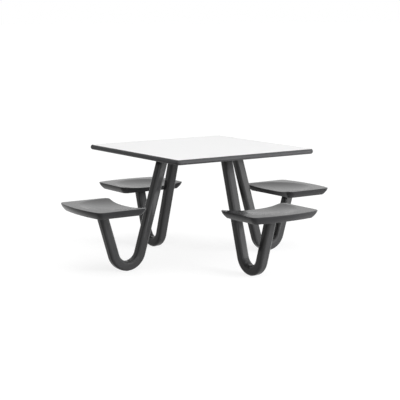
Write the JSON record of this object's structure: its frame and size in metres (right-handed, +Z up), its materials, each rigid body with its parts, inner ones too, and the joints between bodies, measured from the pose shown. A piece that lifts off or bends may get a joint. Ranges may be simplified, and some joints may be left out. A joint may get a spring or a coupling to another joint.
{
  "type": "table with attached swivel seats",
  "caption": "Square laminate table on V-shaped bent tube legs, each leg carrying a dished seat that swivels on its outer arm.",
  "frame": {"origin": "on the floor under the middle of the square top", "axes": "+Z up; the legs and seats stand on +X (right), +Y (back), -X (left) and -Y (front)"},
  "size_m": [1.8866, 1.8866, 0.762],
  "materials": {
    "laminate": "white high-pressure laminate, satin",
    "edge": "charcoal moulded polymer, satin",
    "core": "particleboard",
    "backer": "balancing backer sheet",
    "frame_paint": "charcoal powder coat, fine texture, semi-gloss",
    "seat_plastic": "charcoal moulded polymer, fine grain",
    "zinc": "bright zinc plated steel",
    "bearing_steel": "machined steel",
    "insert_brass": "plain brass",
    "bush_bronze": "sintered bronze",
    "washer_nylon": "natural nylon",
    "glide_nylon": "black nylon"
  },
  "bodies": {
    "root": {"top_core": "core", "top_laminate": "laminate", "top_backer": "backer", "edge_moulding": "edge", "top_screws": "zinc", "top_inserts": "insert_brass", "leg_tube_right": "frame_paint", "top_plate_right": "frame_paint", "end_plate_right": "frame_paint", "bearing_housing_right": "bearing_steel", "swivel_bushes_right": "bush_bronze", "thrust_washer_right": "washer_nylon", "foot_glide_right": "glide_nylon", "leg_tube_back": "frame_paint", "top_plate_back": "frame_paint", "end_plate_back": "frame_paint", "bearing_housing_back": "bearing_steel", "swivel_bushes_back": "bush_bronze", "thrust_washer_back": "washer_nylon", "foot_glide_back": "glide_nylon", "leg_tube_left": "frame_paint", "top_plate_left": "frame_paint", "end_plate_left": "frame_paint", "bearing_housing_left": "bearing_steel", "swivel_bushes_left": "bush_bronze", "thrust_washer_left": "washer_nylon", "foot_glide_left": "glide_nylon", "leg_tube_front": "frame_paint", "top_plate_front": "frame_paint", "end_plate_front": "frame_paint", "bearing_housing_front": "bearing_steel", "swivel_bushes_front": "bush_bronze", "thrust_washer_front": "washer_nylon", "foot_glide_front": "glide_nylon"},
    "seat_right": {"seat_shell_right": "seat_plastic", "seat_plate_right": "frame_paint", "spindle_right": "bearing_steel", "spindle_retainer_right": "zinc", "seat_screws_right": "zinc", "seat_inserts_right": "insert_brass"},
    "seat_back": {"seat_shell_back": "seat_plastic", "seat_plate_back": "frame_paint", "spindle_back": "bearing_steel", "spindle_retainer_back": "zinc", "seat_screws_back": "zinc", "seat_inserts_back": "insert_brass"},
    "seat_left": {"seat_shell_left": "seat_plastic", "seat_plate_left": "frame_paint", "spindle_left": "bearing_steel", "spindle_retainer_left": "zinc", "seat_screws_left": "zinc", "seat_inserts_left": "insert_brass"},
    "seat_front": {"seat_shell_front": "seat_plastic", "seat_plate_front": "frame_paint", "spindle_front": "bearing_steel", "spindle_retainer_front": "zinc", "seat_screws_front": "zinc", "seat_inserts_front": "insert_brass"}
  },
  "joints": [
    {"name": "seat_right_swivel", "type": "hinge", "parent": "root", "child": "seat_right", "pos_m": [0.75132, 0, 0.388], "axis": [0, 0, 1], "continuous": true},
    {"name": "seat_back_swivel", "type": "hinge", "parent": "root", "child": "seat_back", "pos_m": [0, 0.75132, 0.388], "axis": [0, 0, 1], "continuous": true},
    {"name": "seat_left_swivel", "type": "hinge", "parent": "root", "child": "seat_left", "pos_m": [-0.75132, 0, 0.388], "axis": [0, 0, 1], "continuous": true},
    {"name": "seat_front_swivel", "type": "hinge", "parent": "root", "child": "seat_front", "pos_m": [0, -0.75132, 0.388], "axis": [0, 0, 1], "continuous": true}
  ]
}
